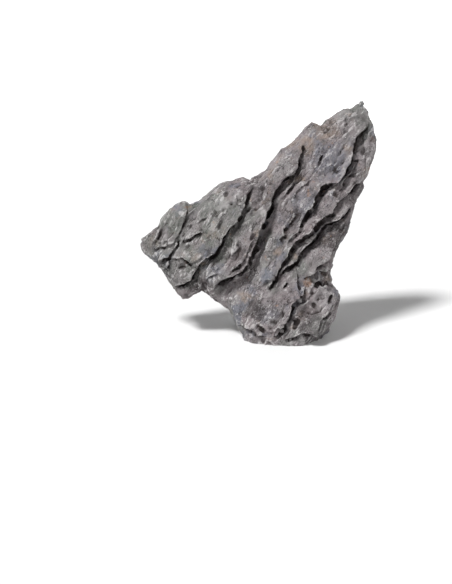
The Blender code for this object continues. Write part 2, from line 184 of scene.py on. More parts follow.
# How the layers lie: the strike of their edges on the face, and the slope towards the viewer.
# A wall is where they are seen edge on, a broad face where they are seen flat.
layerLay = {
    "strike": 56.0,
    "tilt": 18.0,
    "wall": (0.2, 0.6),
    "broad": (0.25, 0.6),
    "seed": 11,
    "lattice": 32,
}

lean = math.radians(stoneForm["lean"])
faceToWorld = Matrix.Translation((
    -stoneForm["footCentre"][0] * mm,
    -stoneForm["footCentre"][1] * mm,
    -stoneForm["floorY"] * math.cos(lean) * mm,
)) @ Matrix.Rotation(math.pi / 2 - lean, 4, "X")

chance = np.random.default_rng(layerLay["seed"])
lattice = chance.uniform(-1.0, 1.0, (layerLay["lattice"],) * 3)


def layerAxes():
    strike = math.radians(layerLay["strike"])
    tilt = math.radians(layerLay["tilt"])
    along = np.array([math.cos(strike), math.sin(strike), 0])
    across = np.array([math.sin(strike), -math.cos(strike), 0])
    through = np.array([0, 0, math.cos(tilt)]) - math.sin(tilt) * across
    return np.array([along, np.cross(through, along), through])


def noise(points, size):  # smooth, from -1 to 1, with features of about that size
    cell = points / size
    low = np.floor(cell).astype(int)
    part = cell - low
    part = part * part * (3 - 2 * part)
    total = np.zeros(len(points))
    for corner in np.ndindex(2, 2, 2):
        index = (low + corner) % layerLay["lattice"]
        weight = np.prod(np.where(corner, part, 1 - part), axis=1)
        total += weight * lattice[index[:, 0], index[:, 1], index[:, 2]]
    return total


def fade(value, low, high):
    share = np.clip((value - low) / (high - low), 0, 1)
    return share * share * (3 - 2 * share)


def beside(points, route, closed=False):  # distance, side (1 is left), way along, length, heading
    route = np.array(route, float)
    if closed:
        route = np.vstack([route, route[:1]])
    best = np.full(len(points), np.inf)
    side = np.ones(len(points))
    along = np.zeros(len(points))
    heading = np.zeros((len(points), 2))
    start = 0.0
    for a, b in zip(route[:-1], route[1:]):
        run = b - a
        length = np.hypot(*run)
        offset = points - a
        share = np.clip(offset @ run / length**2, 0, 1)
        distance = np.hypot(*(offset - share[:, None] * run).T)
        nearer = distance < best
        best[nearer] = distance[nearer]
        turn = run[0] * offset[:, 1] - run[1] * offset[:, 0]
        side[nearer] = np.where(turn[nearer] >= 0, 1, -1)
        along[nearer] = start + share[nearer] * length
        heading[nearer] = run / length
        start += length
    return best, side, along, start, heading


def placed(name, data):
    made = bpy.data.objects.new(name, data)
    bpy.context.scene.collection.objects.link(made)
    return made


def takenMesh(holder):  # the mesh with its modifiers applied; the object goes
    bpy.context.view_layer.update()
    graph = bpy.context.evaluated_depsgraph_get()
    made = bpy.data.meshes.new_from_object(holder.evaluated_get(graph))
    bpy.data.objects.remove(holder)
    return made


def modified(mesh, kind, inputs=(), **settings):
    holder = placed("holder", mesh)
    modifier = holder.modifiers.new("change", kind)
    for name, value in settings.items():
        setattr(modifier, name, value)
    for name, value in inputs:
        modifier[name] = value
    return takenMesh(holder)


def remeshed(mesh, voxel):
    return modified(mesh, "REMESH", mode="VOXEL", voxel_size=voxel * mm)


def thinned(mesh, triangles):
    now = sum(len(face.vertices) - 2 for face in mesh.polygons)
    return modified(mesh, "DECIMATE", ratio=triangles / now)


def getPoints(mesh):
    points = np.empty(len(mesh.vertices) * 3)
    mesh.vertices.foreach_get("co", points)
    return points.reshape(-1, 3) / mm


def getNormals(mesh):
    normals = np.empty(len(mesh.vertices) * 3)
    mesh.vertices.foreach_get("normal", normals)
    return normals.reshape(-1, 3)


def getEdges(mesh):  # the points that they start from and those that they run to
    ends = np.empty(len(mesh.edges) * 2, int)
    mesh.edges.foreach_get("vertices", ends)
    return ends.reshape(-1, 2).T


def setPoints(mesh, points):
    mesh.vertices.foreach_set("co", (points * mm).ravel())
    mesh.update()


def outlineSlab():
    curve = bpy.data.curves.new("outline", "CURVE")
    curve.dimensions = "2D"
    curve.fill_mode = "BOTH"
    curve.extrude = stoneForm["rimHalf"] * mm
    spline = curve.splines.new("POLY")
    spline.points.add(len(stoneForm["outline"]) - 1)
    for point, (x, y) in zip(spline.points, stoneForm["outline"]):
        point.co = (x * mm, y * mm, 0, 1)
    spline.use_cyclic_u = True
    return remeshed(takenMesh(placed("slab", curve)), stoneForm["blankVoxel"])


def depths(face):
    rim = stoneForm["rimHalf"]
    spots = np.array(stoneForm["spots"], float)
    reach = stoneForm["spotReach"]
    apart = np.hypot(face[:, :1] - spots[:, 0], face[:, 1:] - spots[:, 1])
    weight = np.exp(-((apart / reach) ** 2)) + stoneForm["spotTail"] * np.exp(-apart / reach)
    weight /= weight.sum(axis=1, keepdims=True)
    toRim = beside(face, stoneForm["outline"], closed=True)[0]
    near = 1 - np.clip(toRim / stoneForm["frontRounding"], 0, 1)
    front = rim + (weight @ spots[:, 2] - rim) * np.sqrt(1 - near**2)
    near = 1 - np.clip(toRim / stoneForm["backRounding"], 0, 1)
    back = -rim + (weight @ spots[:, 3] + rim) * np.sqrt(1 - near**2)
    calm = stoneForm["rimCalm"]
    return front, back, 1 - calm + calm * fade(toRim, 0.0, stoneForm["rimCalmWidth"])


# The section of the ledges and splits, in mm. Pairs are a size and its growth with each mm of drop.
ledgeCut = {
    # how far their lines stray, and over what length
    "wander": [(1.8, 13.0), (1.1, 5.0), (0.4, 2.4)],
    # a ledge dies out over this length, or over this share of its line if that is less
    "endLength": 16.0,
    "endShare": 0.25,
    "lipHalf": (0.5, 0.06),
    "lipDip": 0.12,
    "dipLength": 3.0,
    "groove": (0.8, 0.12),
    "grooveVaries": 0.8,
    "grooveSize": 11.0,
    # below the groove, a wide hollow: shares of the drop and of the reach
    "scoopDepth": 0.5,
    "scoopReach": 0.28,
    # shares of the drop by which the lip is pushed out and what is below it drawn in
    "overhang": 0.42,
    "drawnIn": 0.15,
    "pushLength": 4.0,
    # ledges and splits set in a little before their ends, in mm
    "ledgeStart": -1.0,
    "splitStart": -1.5,
    "splitEnds": 0.45,
    "splitWidth": (0.4, 0.5),
    "splitVaries": 0.4,
    "splitSize": 4.0,
    # the groove's depth as a share of the drop, the back's noise, and where in the depth the push acts
    "hollow": {"front": 1.0, "back": 0.35},
    "level": {"front": 0.0, "back": 70.0},
    "pushed": {"front": (0.6, 1.0), "back": (0.4, 0.0)},
}


def ledgeRelief(face, side, splits):
    cut = ledgeCut
    hollow = cut["hollow"][side]
    wander = np.column_stack([face, np.full(len(face), cut["level"][side])])
    warped = face.copy()
    for turn, (stray, size) in enumerate(cut["wander"]):
        along, across = (noise(wander + shift, size) for shift in (80 * turn, 80 * turn + 40))
        warped += stray * np.column_stack([along, across])
    lift = np.zeros(len(face))
    deepest = np.zeros(len(face))
    push = np.zeros((len(face), 2))
    for drop, reach, route in ledgeRoutes[side]:
        distance, leftOf, along, length, heading = beside(warped, route)
        ends = np.minimum(along, length - along)
        strength = drop * fade(ends, cut["ledgeStart"], min(cut["endLength"], cut["endShare"] * length))
        crest = cut["lipHalf"][0] + cut["lipHalf"][1] * drop
        lip = fade(distance * leftOf, -crest, crest)
        slope = np.clip(1 - distance / reach, 0, 1)
        slope = slope * (1 - cut["lipDip"] * np.exp(-distance / cut["dipLength"]))
        width = cut["groove"][0] + cut["groove"][1] * drop
        width = width * (1 + cut["grooveVaries"] * noise(wander + 240, cut["grooveSize"]))
        trough = hollow * np.exp(-((distance / width) ** 2))
        trough += cut["scoopDepth"] * np.exp(-distance / (cut["scoopReach"] * reach))
        lift += strength * slope * lip
        deepest = np.maximum(deepest, strength * trough * (1 - lip))
        downhill = np.column_stack([heading[:, 1], -heading[:, 0]])
        over = (cut["overhang"] * lip - cut["drawnIn"]) * np.exp(-distance / cut["pushLength"]) * strength
        push += over[:, None] * downhill
    for depth, width, route in splits:
        distance, _, along, length, _ = beside(warped, route)
        ends = np.minimum(along, length - along)
        gape = fade(ends, cut["splitStart"], cut["splitEnds"] * length)
        width = width * (cut["splitWidth"][0] + cut["splitWidth"][1] * gape)
        width = width * (1 + cut["splitVaries"] * noise(wander + 280, cut["splitSize"]))
        lift -= depth * gape * np.exp(-((distance / width) ** 2))
    return lift - deepest, push


def giveForm(mesh):
    points = getPoints(mesh)
    face = points[:, :2].copy()
    share = (np.clip(points[:, 2] / stoneForm["rimHalf"], -1, 1) + 1) / 2
    front, back, inside = depths(face)
    frontLift, frontPush = ledgeRelief(face, "front", ledgeRoutes["splits"])
    backLift, backPush = ledgeRelief(face, "back", [])
    front += frontLift * inside
    back -= backLift * inside
    points[:, 2] = back + (front - back) * share
    points[:, :2] += frontPush * fade(share, *ledgeCut["pushed"]["front"])[:, None]
    points[:, :2] += backPush * fade(share, *ledgeCut["pushed"]["back"])[:, None]
    setPoints(mesh, points)


def calmWalls(mesh, turns):  # evens out the walls below the ledges, where the blank is drawn out
    points = getPoints(mesh)
    walls = 1 - fade(abs((getNormals(mesh) @ layerAxes().T)[:, 2]), *layerLay["wall"])
    one, other = getEdges(mesh)
    here = np.concatenate([one, other])
    there = np.concatenate([other, one])
    count = np.bincount(here, minlength=len(points))
    for turn in range(turns):
        middle = [np.bincount(here, points[there, axis], len(points)) / count for axis in range(3)]
        points += stoneForm["calmStep"] * walls[:, None] * (np.column_stack(middle) - points)
    setPoints(mesh, points)


# Noise is drawn out along the strike of the layers, 5 times or twice
drawnOut = (0.2, 1.0, 1.0)
halfDrawn = (0.5, 1.0, 1.0)

# Thin layers that end one after another: thickness, the step that each makes on the broad faces,
# how far it stands out where it is seen edge on, how much it wanders, and where its noise is taken
shingles = [
    {"thickness": 11.0, "step": 1.2, "edge": 4.0, "wander": 0.8, "shift": 1500},
    {"thickness": 4.2, "step": 2.0, "edge": 1.3, "wander": 1.1, "shift": 100},
    {"thickness": 1.7, "step": 1.1, "edge": 0.6, "wander": 1.3, "shift": 700},
]

# How they break off. The waves, the patches and edgeThickness are in thicknesses, raggedSize and the
# reach from the rim are in mm, and the rest are shares.
shingleBreak = {
    "across": 0.31,
    "inward": 0.3,
    "longWave": 5.5,
    "shortWave": 1.8,
    "shortShare": 0.4,
    "ragged": 0.1,
    "raggedSize": 2.0,
    "patch": 4.0,
    "drop": 0.1,
    "stepsWhere": (-0.4, 0.3),
    "stepSink": 0.3,
    "edgeThickness": 0.8,
    "edgesWhere": (-0.7, 0.2),
    "edgeSink": 0.8,
    # away from the outline the edges stand out less
    "inside": 0.5,
    "rimFrom": 14.0,
    "rimTo": 5.0,
}


def shingleSteps(layered, facing, outside, lay):
    rule = shingleBreak
    long, bent = layered * drawnOut, layered * halfDrawn
    thick, shift = lay["thickness"], lay["shift"]
    wander = noise(long + shift, rule["longWave"] * thick)
    wander = wander + rule["shortShare"] * noise(bent + shift + 40, rule["shortWave"] * thick)
    wander = lay["wander"] * (wander + rule["ragged"] * noise(bent + shift + 80, rule["raggedSize"]))
    phase = (layered[:, 1] * rule["across"] - rule["inward"] * layered[:, 2]) / thick + wander
    index = np.floor(phase)
    share = phase - index
    here = noise(long + shift + 120 + 37 * index[:, None], rule["patch"] * thick)
    rising = share * (1 - fade(share, 1 - rule["drop"], 1.0))
    falling = (1 - share) * fade(share, 0.0, rule["drop"])
    broad = np.where(facing > 0, rising, falling)
    broad = lay["step"] * (broad * fade(here, *rule["stepsWhere"]) - rule["stepSink"])
    share = (layered[:, 2] / (rule["edgeThickness"] * thick) + wander) % 1.0
    edge = (1 - abs(2 * share - 1) ** 3) * fade(here, *rule["edgesWhere"]) - rule["edgeSink"]
    edge = outside * lay["edge"] * edge
    across = fade(abs(facing), *layerLay["broad"])
    return across * broad + (1 - across) * edge


# Lumps all over the stone, in mm: height, size and where the noise is taken
lumps = {
    "round": (1.6, 30.0, 200),
    "long": [(1.0, 9.0, 500), (0.4, 4.2, 900)],
    "onWalls": (0.35, 3.2, 60),
    "sink": 1.0,
}


def breakLayers(mesh):
    points = getPoints(mesh)
    normals = getNormals(mesh)
    layered = points @ layerAxes().T
    facing = (normals @ layerAxes().T)[:, 2]
    toRim = beside(points[:, :2], stoneForm["outline"], closed=True)[0]
    inside = shingleBreak["inside"]
    outside = inside + (1 - inside) * fade(toRim, shingleBreak["rimFrom"], shingleBreak["rimTo"])
    steps = sum(shingleSteps(layered, facing, outside, lay) for lay in shingles)
    height, size, shift = lumps["round"]
    swells = height * noise(points + shift, size)
    for height, size, shift in lumps["long"]:
        swells = swells + height * noise(layered * drawnOut + shift, size)
    height, size, shift = lumps["onWalls"]
    swells += height * (1 - fade(abs(facing), *layerLay["wall"])) * noise(points + shift, size)
    setPoints(mesh, points + (steps + swells - lumps["sink"])[:, None] * normals)


# The fine relief of the broken layers, in mm
fineRelief = {
    "Plate Size": (26.0, 7.0, 2.4),
    "Plate Step": 0.32,
    "Scale Size": (12.0, 3.2, 1.3),
    "Scale Step": 0.12,
    "Thread Size": (16.0, 3.0, 1.2),
    "Thread Height": 0.12,
    "Pit Size": 6.0,
    "Pit Depth": 0.15,
    "Grain Size": 1.4,
    "Grain Height": 0.03,
    "Warp": 1.2,
}

# What is fixed in it: how its lines bend, and how many cells hold a pit and how wide it is
reliefNoise = {
    "bendScale": 0.16,
    "bendBy": 4.0,
    "scalesAt": (31.0, 17.0, 5.0),
    "pitCells": (0.84, 0.88),
    "pitRim": (0.42, 0.12),
    "plateSpread": 0.9,
    "facingGain": 3.0,
    "heightGain": 3.0,
}


def put(tree, kind, values=(), **settings):  # one node, with its inputs given as values or sockets
    made = tree.nodes.new(kind)
    for name, value in settings.items():
        setattr(made, name, value)
    for key, value in dict(values).items():
        if isinstance(value, bpy.types.NodeSocket):
            tree.links.new(value, made.inputs[key])
        else:
            made.inputs[key].default_value = value
    return made


def calc(tree, operation, *values):
    return put(tree, "ShaderNodeMath", enumerate(values), operation=operation).outputs[0]


def vec(tree, operation, *values):
    made = put(tree, "ShaderNodeVectorMath", enumerate(values), operation=operation)
    return made.outputs["Value" if operation == "DOT_PRODUCT" else "Vector"]


def ramp(tree, value, low, high, toLow=0.0, toHigh=1.0):
    values = {"Value": value, "From Min": low, "From Max": high, "To Min": toLow, "To Max": toHigh}
    return put(tree, "ShaderNodeMapRange", values, interpolation_type="SMOOTHSTEP").outputs["Result"]


def plateHeight(tree, coords, size, step, facing):
    scaled = vec(tree, "DIVIDE", coords, size)
    cells = put(tree, "ShaderNodeTexVoronoi", {
        "Vector": scaled, "Scale": 1.0, "Randomness": reliefNoise["plateSpread"]})
    own = put(tree, "FunctionNodeSeparateColor", {"Color": cells.outputs["Color"]}).outputs[0]
    level = calc(tree, "MULTIPLY_ADD", own, 2.0, -1.0)
    inside = vec(tree, "SUBTRACT", scaled, cells.outputs["Position"])
    down = put(tree, "ShaderNodeSeparateXYZ", {0: inside}).outputs[1]
    tilted = calc(tree, "MULTIPLY", down, facing)
    return calc(tree, "MULTIPLY", calc(tree, "ADD", level, tilted), step)


def noiseHeight(tree, noiseNode, height):
    raised = calc(tree, "SUBTRACT", noiseNode.outputs[0], 0.5)
    return calc(tree, "MULTIPLY", raised, calc(tree, "MULTIPLY", height, reliefNoise["heightGain"]))


def meshTree(name, settings):  # a new tree, and its inputs, one for each setting
    kinds = {tuple: "NodeSocketVector", float: "NodeSocketFloat", int: "NodeSocketInt"}
    tree = bpy.data.node_groups.new(name, "GeometryNodeTree")
    tree.interface.new_socket("Geometry", in_out="INPUT", socket_type="NodeSocketGeometry")
    for key, value in settings.items():
        tree.interface.new_socket(key, in_out="INPUT", socket_type=kinds[type(value)])
    tree.interface.new_socket("Geometry", in_out="OUTPUT", socket_type="NodeSocketGeometry")
    return tree, tree.nodes.new("NodeGroupInput").outputs


def closeTree(tree, geometry, material):
    faced = put(tree, "GeometryNodeSetMaterial", {"Geometry": geometry, "Material": material})
    whole = put(tree, "GeometryNodeRealizeInstances", {"Geometry": faced.outputs[0]})
    put(tree, "NodeGroupOutput", {"Geometry": whole.outputs[0]})


def brokenLayers(stoneMaterial):
    tree, given = meshTree("brokenLayers", fineRelief)
    place = vec(tree, "SCALE", tree.nodes.new("GeometryNodeInputPosition").outputs[0])
    place.node.inputs["Scale"].default_value = 1 / mm
    normal = tree.nodes.new("GeometryNodeInputNormal").outputs["Normal"]
    axes = [tuple(axis) for axis in layerAxes()]
    lay = put(tree, "ShaderNodeCombineXYZ", enumerate([vec(tree, "DOT_PRODUCT", place, a) for a in axes]))
    facing = calc(tree, "MULTIPLY", vec(tree, "DOT_PRODUCT", normal, axes[2]), reliefNoise["facingGain"])
    facing = calc(tree, "MAXIMUM", calc(tree, "MINIMUM", facing, 1.0), -1.0)

    shifts = put(tree, "ShaderNodeTexNoise", {
        "Vector": place, "Scale": reliefNoise["bendScale"], "Detail": 2.0})
    wander = vec(tree, "SUBTRACT", shifts.outputs["Color"], (0.5, 0.5, 0.5))
    wander = vec(tree, "MULTIPLY", wander, (reliefNoise["bendBy"],) * 3)
    warpBy = put(tree, "ShaderNodeVectorMath", {0: wander, "Scale": given["Warp"]}, operation="SCALE")
    coords = vec(tree, "ADD", lay.outputs[0], warpBy.outputs[0])

    plate = plateHeight(tree, coords, given["Plate Size"], given["Plate Step"], facing)
    moved = vec(tree, "ADD", coords, reliefNoise["scalesAt"])
    scale = plateHeight(tree, moved, given["Scale Size"], given["Scale Step"], facing)

    stretched = vec(tree, "DIVIDE", coords, given["Thread Size"])
    threads = put(tree, "ShaderNodeTexNoise", {"Vector": stretched, "Scale": 1.0, "Detail": 3.0})
    thread = noiseHeight(tree, threads, given["Thread Height"])

    pitAt = vec(tree, "DIVIDE", place, given["Pit Size"])
    holes = put(tree, "ShaderNodeTexVoronoi", {"Vector": pitAt, "Scale": 1.0})
    few = put(tree, "FunctionNodeSeparateColor", {"Color": holes.outputs["Color"]}).outputs[1]
    few = ramp(tree, few, *reliefNoise["pitCells"])
    pit = calc(tree, "MULTIPLY", ramp(tree, holes.outputs["Distance"], *reliefNoise["pitRim"]), few)
    pit = calc(tree, "MULTIPLY", pit, given["Pit Depth"])

    grains = put(tree, "ShaderNodeTexNoise", {"Vector": place, "Detail": 2.0})
    tree.links.new(calc(tree, "DIVIDE", 1.0, given["Grain Size"]), grains.inputs["Scale"])
    grain = noiseHeight(tree, grains, given["Grain Height"])

    height = calc(tree, "ADD", calc(tree, "ADD", plate, scale), calc(tree, "ADD", thread, grain))
    height = calc(tree, "MULTIPLY", calc(tree, "SUBTRACT", height, pit), mm)
    offset = put(tree, "ShaderNodeVectorMath", {0: normal, "Scale": height}, operation="SCALE")
    values = {"Geometry": given["Geometry"], "Offset": offset.outputs[0]}
    closeTree(tree, put(tree, "GeometryNodeSetPosition", values).outputs[0], stoneMaterial)
    return tree


# How far a point stands proud of its near and its wide surroundings, for the worn crests, which also
# carry a painted highlight, and for the painted shade in crevices and hollows
crestAndHollowBlurs = {
    "Near Blur": 5,
    "Wide Blur": 80,
}

# The attribute that each gives, and the height in mm that counts as 1 there
proudness = {
    "Near Blur": ("crest", 0.35),
    "Wide Blur": ("swell", 2.6),
}


def crestAndHollowMarks(stoneMaterial):
    tree, given = meshTree("crestAndHollowMarks", crestAndHollowBlurs)
    place = tree.nodes.new("GeometryNodeInputPosition").outputs[0]
    normal = tree.nodes.new("GeometryNodeInputNormal").outputs["Normal"]
    geometry = given["Geometry"]
    for turns, (name, size) in proudness.items():
        blur = put(tree, "GeometryNodeBlurAttribute", {"Iterations": given[turns]},
                   data_type="FLOAT_VECTOR")
        tree.links.new(place, next(s for s in blur.inputs if s.enabled and s.name == "Value"))
        smooth = next(s for s in blur.outputs if s.enabled)
        proud = vec(tree, "DOT_PRODUCT", vec(tree, "SUBTRACT", place, smooth), normal)
        keep = put(tree, "GeometryNodeStoreNamedAttribute",
                   {"Geometry": geometry, "Name": name, "Value": calc(tree, "DIVIDE", proud, size * mm)})
        geometry = keep.outputs[0]
    closeTree(tree, geometry, stoneMaterial)
    return tree


def withNodes(mesh, tree, settings):
    inputs = [(item.identifier, settings[item.name]) for item in tree.interface.items_tree
              if item.in_out == "INPUT" and item.name in settings]
    return modified(mesh, "NODES", inputs, node_group=tree)


def withoutCrumbs(mesh):  # keeps the largest part: thin layers may leave a chip or a hollow loose
    one, other = getEdges(mesh)
    part = np.arange(len(mesh.vertices))
    changed = True
    while changed:
        lower = part.copy()
        np.minimum.at(lower, one, part[other])
        np.minimum.at(lower, other, part[one])
        lower = lower[lower]
        changed = (lower != part).any()
        part = lower
    loose = part != np.bincount(part).argmax()
    print("loose parts:", len(np.unique(part)) - 1, "with", int(loose.sum()), "points")
    work = bmesh.new()
    work.from_mesh(mesh)
    bmesh.ops.delete(work, geom=[v for v, out in zip(work.verts, loose) if out], context="VERTS")
    work.to_mesh(mesh)
    work.free()
    return mesh


def cutFoot(mesh):
    work = bmesh.new()
    work.from_mesh(mesh)
    everything = work.verts[:] + work.edges[:] + work.faces[:]
    cut = bmesh.ops.bisect_plane(work, geom=everything, dist=1e-7, plane_co=(0, 0, 0),
                                 plane_no=(0, 0, 1), clear_inner=True)
    rim = [edge for edge in cut["geom_cut"] if isinstance(edge, bmesh.types.BMEdge)]
    bmesh.ops.holes_fill(work, edges=rim, sides=0)
    bmesh.ops.triangulate(work, faces=[f for f in work.faces if len(f.verts) > 4])
    work.to_mesh(mesh)
    work.free()
    return mesh


# Colours of the stone, as linear values
stoneColours = {
    "dark": (0.060, 0.054, 0.056),
    # near black: the colour of soil in the cracks, and also painted shade in crevices, hollows and under
    # ledges
    "soilAndShade": (0.014, 0.009, 0.008),
    "blue": (0.128, 0.136, 0.168),
    "grey": (0.165, 0.151, 0.154),
    "pale": (0.270, 0.250, 0.254),
    "green": (0.138, 0.146, 0.132),
    "mauve": (0.190, 0.162, 0.166),
    "tan": (0.265, 0.200, 0.155),
    "rust": (0.330, 0.165, 0.075),
    "chalk": (0.520, 0.505, 0.500),
}

# Larger marks on the front: colour, place on the face and radius in mm, strength
frontMarks = [
    ("blue", (40, 180), 22, 0.6),
    ("blue", (12, 138), 16, 0.45),
    ("tan", (34, 214), 15, 0.5),
    ("tan", (14, 196), 11, 0.5),
    ("pale", (60, 184), 7, 0.7),
    ("pale", (-12, 180), 14, 0.6),
    ("pale", (54, 222), 13, 0.5),
    ("pale", (-56, 146), 9, 0.6),
    ("pale", (-100, 122), 12, 0.5),
    ("green", (-112, 124), 12, 0.6),
    ("green", (-138, 104), 10, 0.6),
    ("rust", (15, 62), 5, 0.45),
    # painted shade: darkens the lower right, where the face turns away from the light
    ("soilAndShade", (48, 104), 22, 0.65),
    ("blue", (-24, 32), 13, 0.4),
    ("soilAndShade", (-36, 36), 12, 0.8),
    # painted shade: these near-black marks paint the shadow under the main ledges of the left wing
    ("soilAndShade", (-96, 62), 11, 0.6),
    ("soilAndShade", (-78, 86), 8, 0.6),
    ("soilAndShade", (-66, 98), 7, 0.6),
    ("soilAndShade", (-56, 111), 7, 0.6),
    ("soilAndShade", (-124, 70), 9, 0.6),
    ("soilAndShade", (-129, 82), 6, 0.6),
    ("soilAndShade", (-89, 56), 8, 0.7),
    ("chalk", (-108, 130), 3, 0.5),
    ("chalk", (-76, 117), 6, 0.4),
    ("chalk", (-102, 89), 4, 0.5),
    ("chalk", (-68, 139), 8, 0.35),
    ("green", (-110, 84), 26, 0.4),
    ("green", (-66, 120), 26, 0.35),
    ("dark", (-34, 156), 10, 0.5),
    ("pale", (-4, 77), 8, 0.7),
    ("chalk", (-5, 77), 3, 0.6),
    ("pale", (34, 90), 7, 0.7),
    ("chalk", (44, 82), 3, 0.7),
    ("chalk", (-27, 129), 4, 0.5),
    ("chalk", (-58, 94), 5, 0.4),
    ("chalk", (21, 135), 3, 0.5),
    ("chalk", (38, 26), 4, 0.5),
    # painted shade below the lowest ledge
    ("dark", (24, 4), 16, 0.5),
    ("pale", (72, 192), 12, 0.5),
    ("dark", (22, 20), 15, 0.7),
    ("soilAndShade", (12, 18), 9, 0.5),
    ("green", (26, 20), 12, 0.4),
    ("pale", (32, 46), 14, 0.8),
    ("pale", (-36, 76), 11, 0.5),
    ("pale", (74, 192), 9, 0.5),
    ("chalk", (8, 12), 4, 0.4),
    ("chalk", (-20, 24), 5, 0.4),
    ("soilAndShade", (-20, 40), 6, 0.5),
    ("tan", (80, 170), 10, 0.5),
]


def mixed(tree, share, under, over):
    made = put(tree, "ShaderNodeMix", {"Factor": share}, data_type="RGBA")
    colours = [s for s in made.inputs if s.type == "RGBA"]
    for socket, colour in zip(colours, (under, over)):
        if isinstance(colour, bpy.types.NodeSocket):
            tree.links.new(colour, socket)
        else:
            socket.default_value = (*colour, 1.0)
    return next(s for s in made.outputs if s.type == "RGBA")


# Where the ground colours lie: colour, size in mm and place of the patches, where they set in and are
# whole, and how much of the colour there is
groundPatches = [
    ("grey", 18, (3, 7, 1), (0.35, 0.65), 0.8),
    ("blue", 26, (5, 1, 6), (0.54, 0.66), 0.75),
    ("tan", 22, (9, 2, 5), (0.56, 0.70), 0.7),
]

# The rest of the finish. Sizes are in mm; a range says where something sets in and where it is whole.
stoneFinishing = {
    "roughness": 0.86,
    "specular": 0.35,
    "patchRoughness": 0.6,
    # mauve to the right of the wing, green on it
    "warmSize": 48,
    "warmAcross": (-75.0, -15.0),
    "warmShift": 0.16,
    "warmRange": (0.50, 0.66),
    # the ragged outlines of the larger marks
    "raggedSizes": (9, 2.6),
    "raggedShares": (1.0, 1.6),
    "raggedShift": -1.3,
    "markRange": (1.1, 0.6),
    "frontOnly": 8.0,
    "mottleSize": 8,
    "mottlePale": (0.48, 0.72, 0.75),
    "mottleDark": (0.50, 0.30, 0.8),
    "rustSize": 9,
    "rustRange": (0.66, 0.74, 0.4),
    # worn crests: pale edge wear, which also serves as a painted highlight on the lips
    "wearAndHighlightRange": (0.3, 1.4),
    "wearAndHighlightSize": 11,
    "wearAndHighlightPatches": (0.42, 0.60),
    "wearAndHighlightShare": 0.55,
    "gritSize": 1.2,
    "gritDark": (0.50, 0.30),
    "gritPale": (0.55, 0.75),
    "gritAreas": 30,
    "gritAreaRange": (0.40, 0.60, 0.35, 0.95),
    "fleckSize": 1.6,
    "fleckRange": (0.58, 0.66),
    "fleckAreas": 18,
    "fleckAreaRange": (0.52, 0.64),
    "fleckShare": 0.8,
    "seamCells": (15.0, 6.0, 4.0),
    "seamBend": 0.5,
    "seamWidth": (0.05, 0.01),
    "seamAreas": 12,
    "seamAreaRange": (0.5, 0.62),
    "seamShare": 0.75,
    # painted shade: small crevices and wide hollows are darkened towards near black
    "creviceShade": (-0.4, -2.4, 0.0, 0.3),
    "hollowShade": (0.05, -1.15, 0.0, 0.93),
    "mostRecessShade": 0.93,
    "bumpSizes": (1.1, 2.2),
    "bumpStrength": 0.9,
    "bumpHeight": 0.36,
}


